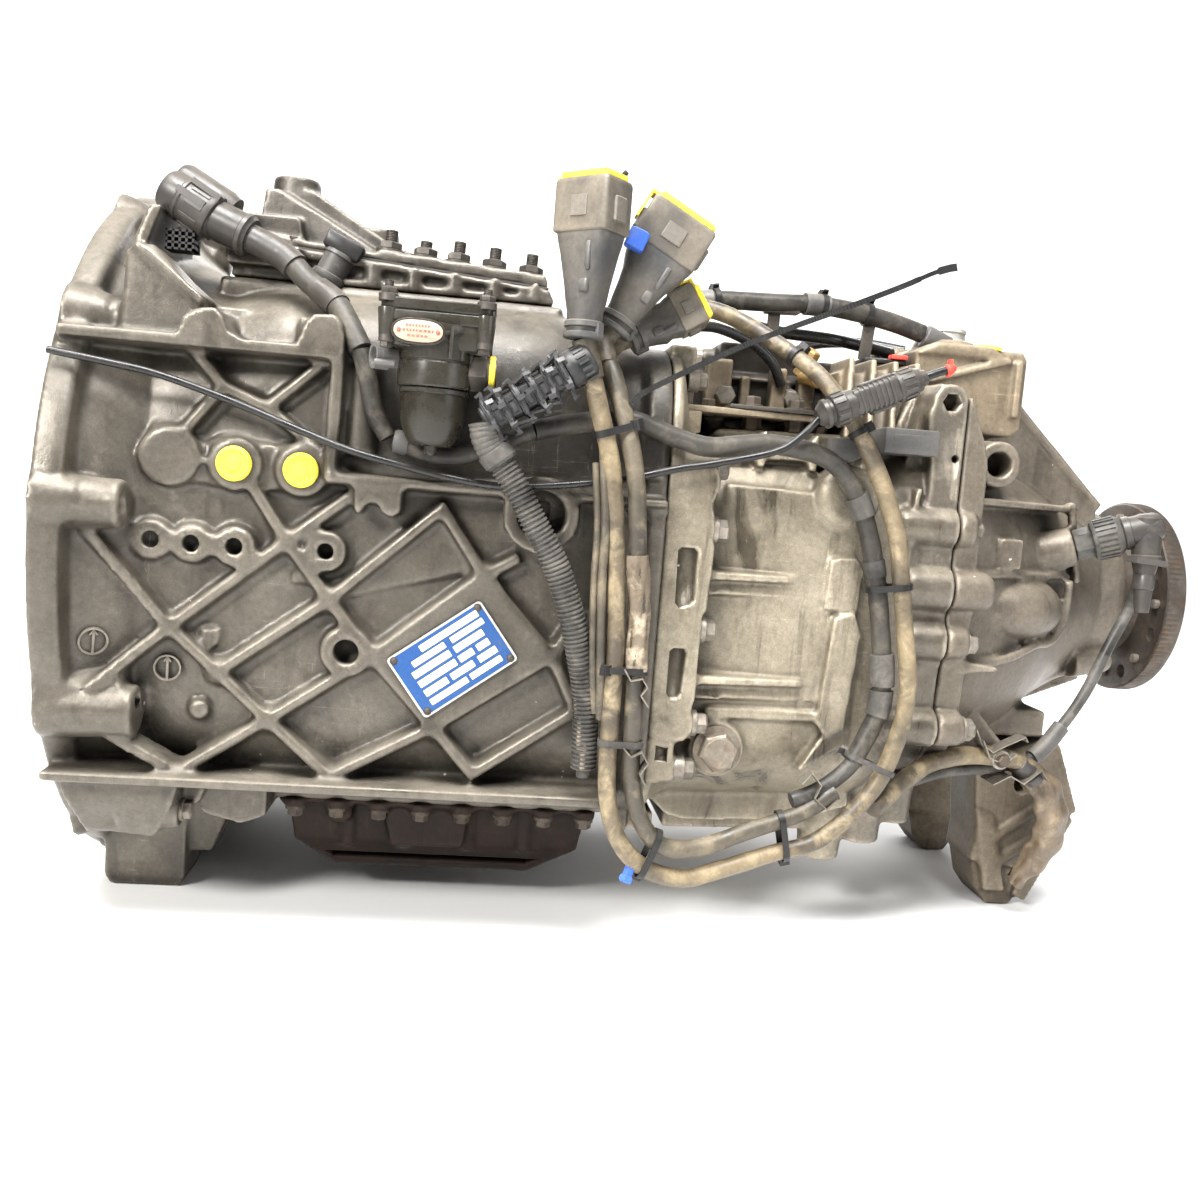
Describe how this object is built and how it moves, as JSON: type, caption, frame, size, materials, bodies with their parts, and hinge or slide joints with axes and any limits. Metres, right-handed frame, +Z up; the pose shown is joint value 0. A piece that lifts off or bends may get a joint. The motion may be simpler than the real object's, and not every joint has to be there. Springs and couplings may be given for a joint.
{
  "type": "truck manual transmission",
  "caption": "Heavy truck gearbox with automated shifting: cast bell, main and range housings, output flange, shift actuator, regulator, wiring, and gears, shafts and forks inside.",
  "frame": {"origin": "centre of the footprint of the bounding box, on the floor the gearbox stands on", "axes": "+X along the shafts from the bell housing to the output flange, +Z up, -Y out of the side with the nameplate and harness"},
  "size_m": [0.924, 0.5616, 0.557],
  "materials": {
    "black_plastic": "matte",
    "bronze": "machined",
    "cast_dark": "cast, oily",
    "cast_front": "sand cast, oily and dusty",
    "cast_range": "cast, dark and dusty",
    "cast_rear": "sand cast, dusty",
    "dark_steel": "dark, oily",
    "grey_plastic": "dusty",
    "plate_blue": "printed plate",
    "rubber": "worn",
    "sheath": "dusty sheath",
    "steel": "machined",
    "yellow_plastic": "worn gloss"
  },
  "bodies": {
    "case": {"front_housing": "cast_front", "sealing_cap_front": "yellow_plastic", "sealing_cap_rear": "yellow_plastic", "nameplate": "plate_blue", "oil_pan": "cast_dark", "rear_housing": "cast_rear", "oil_level_plug": "steel", "range_housing": "cast_range", "rear_bracket": "cast_range", "range_cylinder": "cast_rear", "valve_block": "dark_steel", "shift_actuator_housing": "cast_dark", "shift_actuator_cover": "cast_rear", "pressure_regulator": "black_plastic", "regulator_bowl": "black_plastic", "connector_large_a": "grey_plastic", "connector_large_b": "grey_plastic", "connector_small": "grey_plastic", "harness_splitter": "black_plastic", "harness_cable_outer": "sheath", "harness_cable_inner": "sheath", "branch_hose": "rubber", "corrugated_conduit": "rubber", "sensor_lead": "rubber", "output_speed_sensor": "grey_plastic", "sensor_cable": "sheath", "actuator_cable": "grey_plastic", "guide_tube": "steel", "ring_gear": "steel", "output_bearing": "steel"},
    "input_shaft": {"input_shaft": "steel"},
    "splitter_gear_low": {"splitter_gear_low": "steel"},
    "countershaft_left": {"countershaft_left": "steel"},
    "countershaft_right": {"countershaft_right": "steel"},
    "splitter_gear_high": {"splitter_gear_high": "steel"},
    "second_gear": {"second_gear": "steel"},
    "first_gear": {"first_gear": "steel"},
    "reverse_gear": {"reverse_gear": "steel"},
    "reverse_idler_left": {"reverse_idler_left": "steel"},
    "reverse_idler_right": {"reverse_idler_right": "steel"},
    "main_shaft": {"main_shaft": "steel"},
    "output_shaft": {"output_shaft": "steel", "output_flange": "dark_steel"},
    "planet_gear_1": {"planet_gear_1": "steel"},
    "planet_gear_2": {"planet_gear_2": "steel"},
    "planet_gear_3": {"planet_gear_3": "steel"},
    "planet_gear_4": {"planet_gear_4": "steel"},
    "splitter_fork": {"splitter_fork": "cast_rear"},
    "splitter_sleeve": {"splitter_sleeve": "bronze"},
    "shift_fork_fast": {"shift_fork_fast": "cast_rear"},
    "shift_sleeve_fast": {"shift_sleeve_fast": "bronze"},
    "shift_fork_slow": {"shift_fork_slow": "cast_rear"},
    "shift_sleeve_slow": {"shift_sleeve_slow": "bronze"},
    "range_fork": {"range_fork": "cast_rear"},
    "range_sleeve": {"range_sleeve": "bronze"},
    "release_fork": {"release_fork": "dark_steel"},
    "release_bearing": {"release_bearing": "steel"},
    "connector_lock_a": {"connector_lock_a": "yellow_plastic"},
    "connector_lock_b": {"connector_lock_b": "yellow_plastic"},
    "connector_lock_small": {"connector_lock_small": "yellow_plastic"}
  },
  "joints": [
    {"name": "input_spin", "type": "hinge", "parent": "case", "child": "input_shaft", "pos_m": [-0.45, 0.00617, 0.278], "axis": [1, 0, 0], "continuous": true},
    {"name": "splitter_low_spin", "type": "hinge", "parent": "case", "child": "splitter_gear_low", "pos_m": [-0.314, 0.00617, 0.278], "axis": [1, 0, 0], "continuous": true},
    {"name": "countershaft_left_spin", "type": "hinge", "parent": "case", "child": "countershaft_left", "pos_m": [-0.32, -0.09284, 0.278], "axis": [1, 0, 0], "continuous": true},
    {"name": "countershaft_right_spin", "type": "hinge", "parent": "case", "child": "countershaft_right", "pos_m": [-0.32, 0.10516, 0.278], "axis": [1, 0, 0], "continuous": true},
    {"name": "splitter_high_spin", "type": "hinge", "parent": "case", "child": "splitter_gear_high", "pos_m": [-0.252, 0.00617, 0.278], "axis": [1, 0, 0], "continuous": true},
    {"name": "second_spin", "type": "hinge", "parent": "case", "child": "second_gear", "pos_m": [-0.252, 0.00617, 0.278], "axis": [1, 0, 0], "continuous": true},
    {"name": "first_spin", "type": "hinge", "parent": "case", "child": "first_gear", "pos_m": [-0.252, 0.00617, 0.278], "axis": [1, 0, 0], "continuous": true},
    {"name": "reverse_spin", "type": "hinge", "parent": "case", "child": "reverse_gear", "pos_m": [-0.1, 0.00617, 0.278], "axis": [1, 0, 0], "continuous": true},
    {"name": "reverse_idler_left_spin", "type": "hinge", "parent": "case", "child": "reverse_idler_left", "pos_m": [-0.112, -0.06476, 0.3253], "axis": [1, 0, 0], "continuous": true},
    {"name": "reverse_idler_right_spin", "type": "hinge", "parent": "case", "child": "reverse_idler_right", "pos_m": [-0.112, 0.07709, 0.3253], "axis": [1, 0, 0], "continuous": true},
    {"name": "main_spin", "type": "hinge", "parent": "case", "child": "main_shaft", "pos_m": [-0.268, 0.00617, 0.278], "axis": [1, 0, 0], "continuous": true},
    {"name": "output_spin", "type": "hinge", "parent": "case", "child": "output_shaft", "pos_m": [0.084, 0.00617, 0.278], "axis": [1, 0, 0], "continuous": true},
    {"name": "planet_1_spin", "type": "hinge", "parent": "output_shaft", "child": "planet_gear_1", "pos_m": [0.039, 0.06116, 0.278], "axis": [1, 0, 0], "continuous": true},
    {"name": "planet_2_spin", "type": "hinge", "parent": "output_shaft", "child": "planet_gear_2", "pos_m": [0.039, 0.00617, 0.333], "axis": [1, 0, 0], "continuous": true},
    {"name": "planet_3_spin", "type": "hinge", "parent": "output_shaft", "child": "planet_gear_3", "pos_m": [0.039, -0.04884, 0.278], "axis": [1, 0, 0], "continuous": true},
    {"name": "planet_4_spin", "type": "hinge", "parent": "output_shaft", "child": "planet_gear_4", "pos_m": [0.039, 0.00617, 0.223], "axis": [1, 0, 0], "continuous": true},
    {"name": "splitter_shift", "type": "slide", "parent": "case", "child": "splitter_fork", "axis": [1, 0, 0], "range_m": [0, 0.01]},
    {"name": "splitter_sleeve_slide", "type": "slide", "parent": "input_shaft", "child": "splitter_sleeve", "axis": [1, 0, 0], "range_m": [0, 0.01]},
    {"name": "fast_shift", "type": "slide", "parent": "case", "child": "shift_fork_fast", "axis": [1, 0, 0], "range_m": [-0.006, 0.006]},
    {"name": "fast_sleeve_slide", "type": "slide", "parent": "main_shaft", "child": "shift_sleeve_fast", "axis": [1, 0, 0], "range_m": [-0.006, 0.006]},
    {"name": "slow_shift", "type": "slide", "parent": "case", "child": "shift_fork_slow", "axis": [1, 0, 0], "range_m": [-0.006, 0.006]},
    {"name": "slow_sleeve_slide", "type": "slide", "parent": "main_shaft", "child": "shift_sleeve_slow", "axis": [1, 0, 0], "range_m": [-0.006, 0.006]},
    {"name": "range_shift", "type": "slide", "parent": "case", "child": "range_fork", "axis": [1, 0, 0], "range_m": [-0.012, 0.005]},
    {"name": "range_sleeve_slide", "type": "slide", "parent": "case", "child": "range_sleeve", "axis": [1, 0, 0], "range_m": [-0.012, 0.005]},
    {"name": "release_fork_swing", "type": "hinge", "parent": "case", "child": "release_fork", "pos_m": [-0.364, 0.12116, 0.278], "axis": [0, 0, 1], "range_deg": [-6, 0]},
    {"name": "release_bearing_slide", "type": "slide", "parent": "case", "child": "release_bearing", "axis": [1, 0, 0], "range_m": [-0.0125, 0]},
    {"name": "connector_lock_a_slide", "type": "slide", "parent": "case", "child": "connector_lock_a", "axis": [-1, 0, 0], "range_m": [0, 0.006]},
    {"name": "connector_lock_b_slide", "type": "slide", "parent": "case", "child": "connector_lock_b", "axis": [-0.8812, 0, 0.4728], "range_m": [0, 0.006]},
    {"name": "connector_lock_small_slide", "type": "slide", "parent": "case", "child": "connector_lock_small", "axis": [-0.5093, 0, 0.8606], "range_m": [0, 0.006]}
  ],
  "couplings": [
    {"joint": "splitter_low_spin", "follows": "input_spin", "ratio": 1},
    {"joint": "countershaft_left_spin", "follows": "input_spin", "ratio": -0.63636},
    {"joint": "countershaft_right_spin", "follows": "input_spin", "ratio": -0.63636},
    {"joint": "splitter_high_spin", "follows": "input_spin", "ratio": 0.71123},
    {"joint": "second_spin", "follows": "input_spin", "ratio": 0.45455},
    {"joint": "first_spin", "follows": "input_spin", "ratio": 0.28},
    {"joint": "reverse_spin", "follows": "input_spin", "ratio": -0.30303},
    {"joint": "reverse_idler_left_spin", "follows": "input_spin", "ratio": 0.63636},
    {"joint": "reverse_idler_right_spin", "follows": "input_spin", "ratio": 0.63636},
    {"joint": "output_spin", "follows": "main_spin", "ratio": 0.22727},
    {"joint": "planet_1_spin", "follows": "main_spin", "ratio": -0.64394},
    {"joint": "planet_2_spin", "follows": "main_spin", "ratio": -0.64394},
    {"joint": "planet_3_spin", "follows": "main_spin", "ratio": -0.64394},
    {"joint": "planet_4_spin", "follows": "main_spin", "ratio": -0.64394},
    {"joint": "splitter_sleeve_slide", "follows": "splitter_shift", "ratio": 1},
    {"joint": "fast_sleeve_slide", "follows": "fast_shift", "ratio": 1},
    {"joint": "slow_sleeve_slide", "follows": "slow_shift", "ratio": 1},
    {"joint": "range_sleeve_slide", "follows": "range_shift", "ratio": 1},
    {"joint": "release_bearing_slide", "follows": "release_fork_swing", "m_per_rad": 0.115}
  ]
}
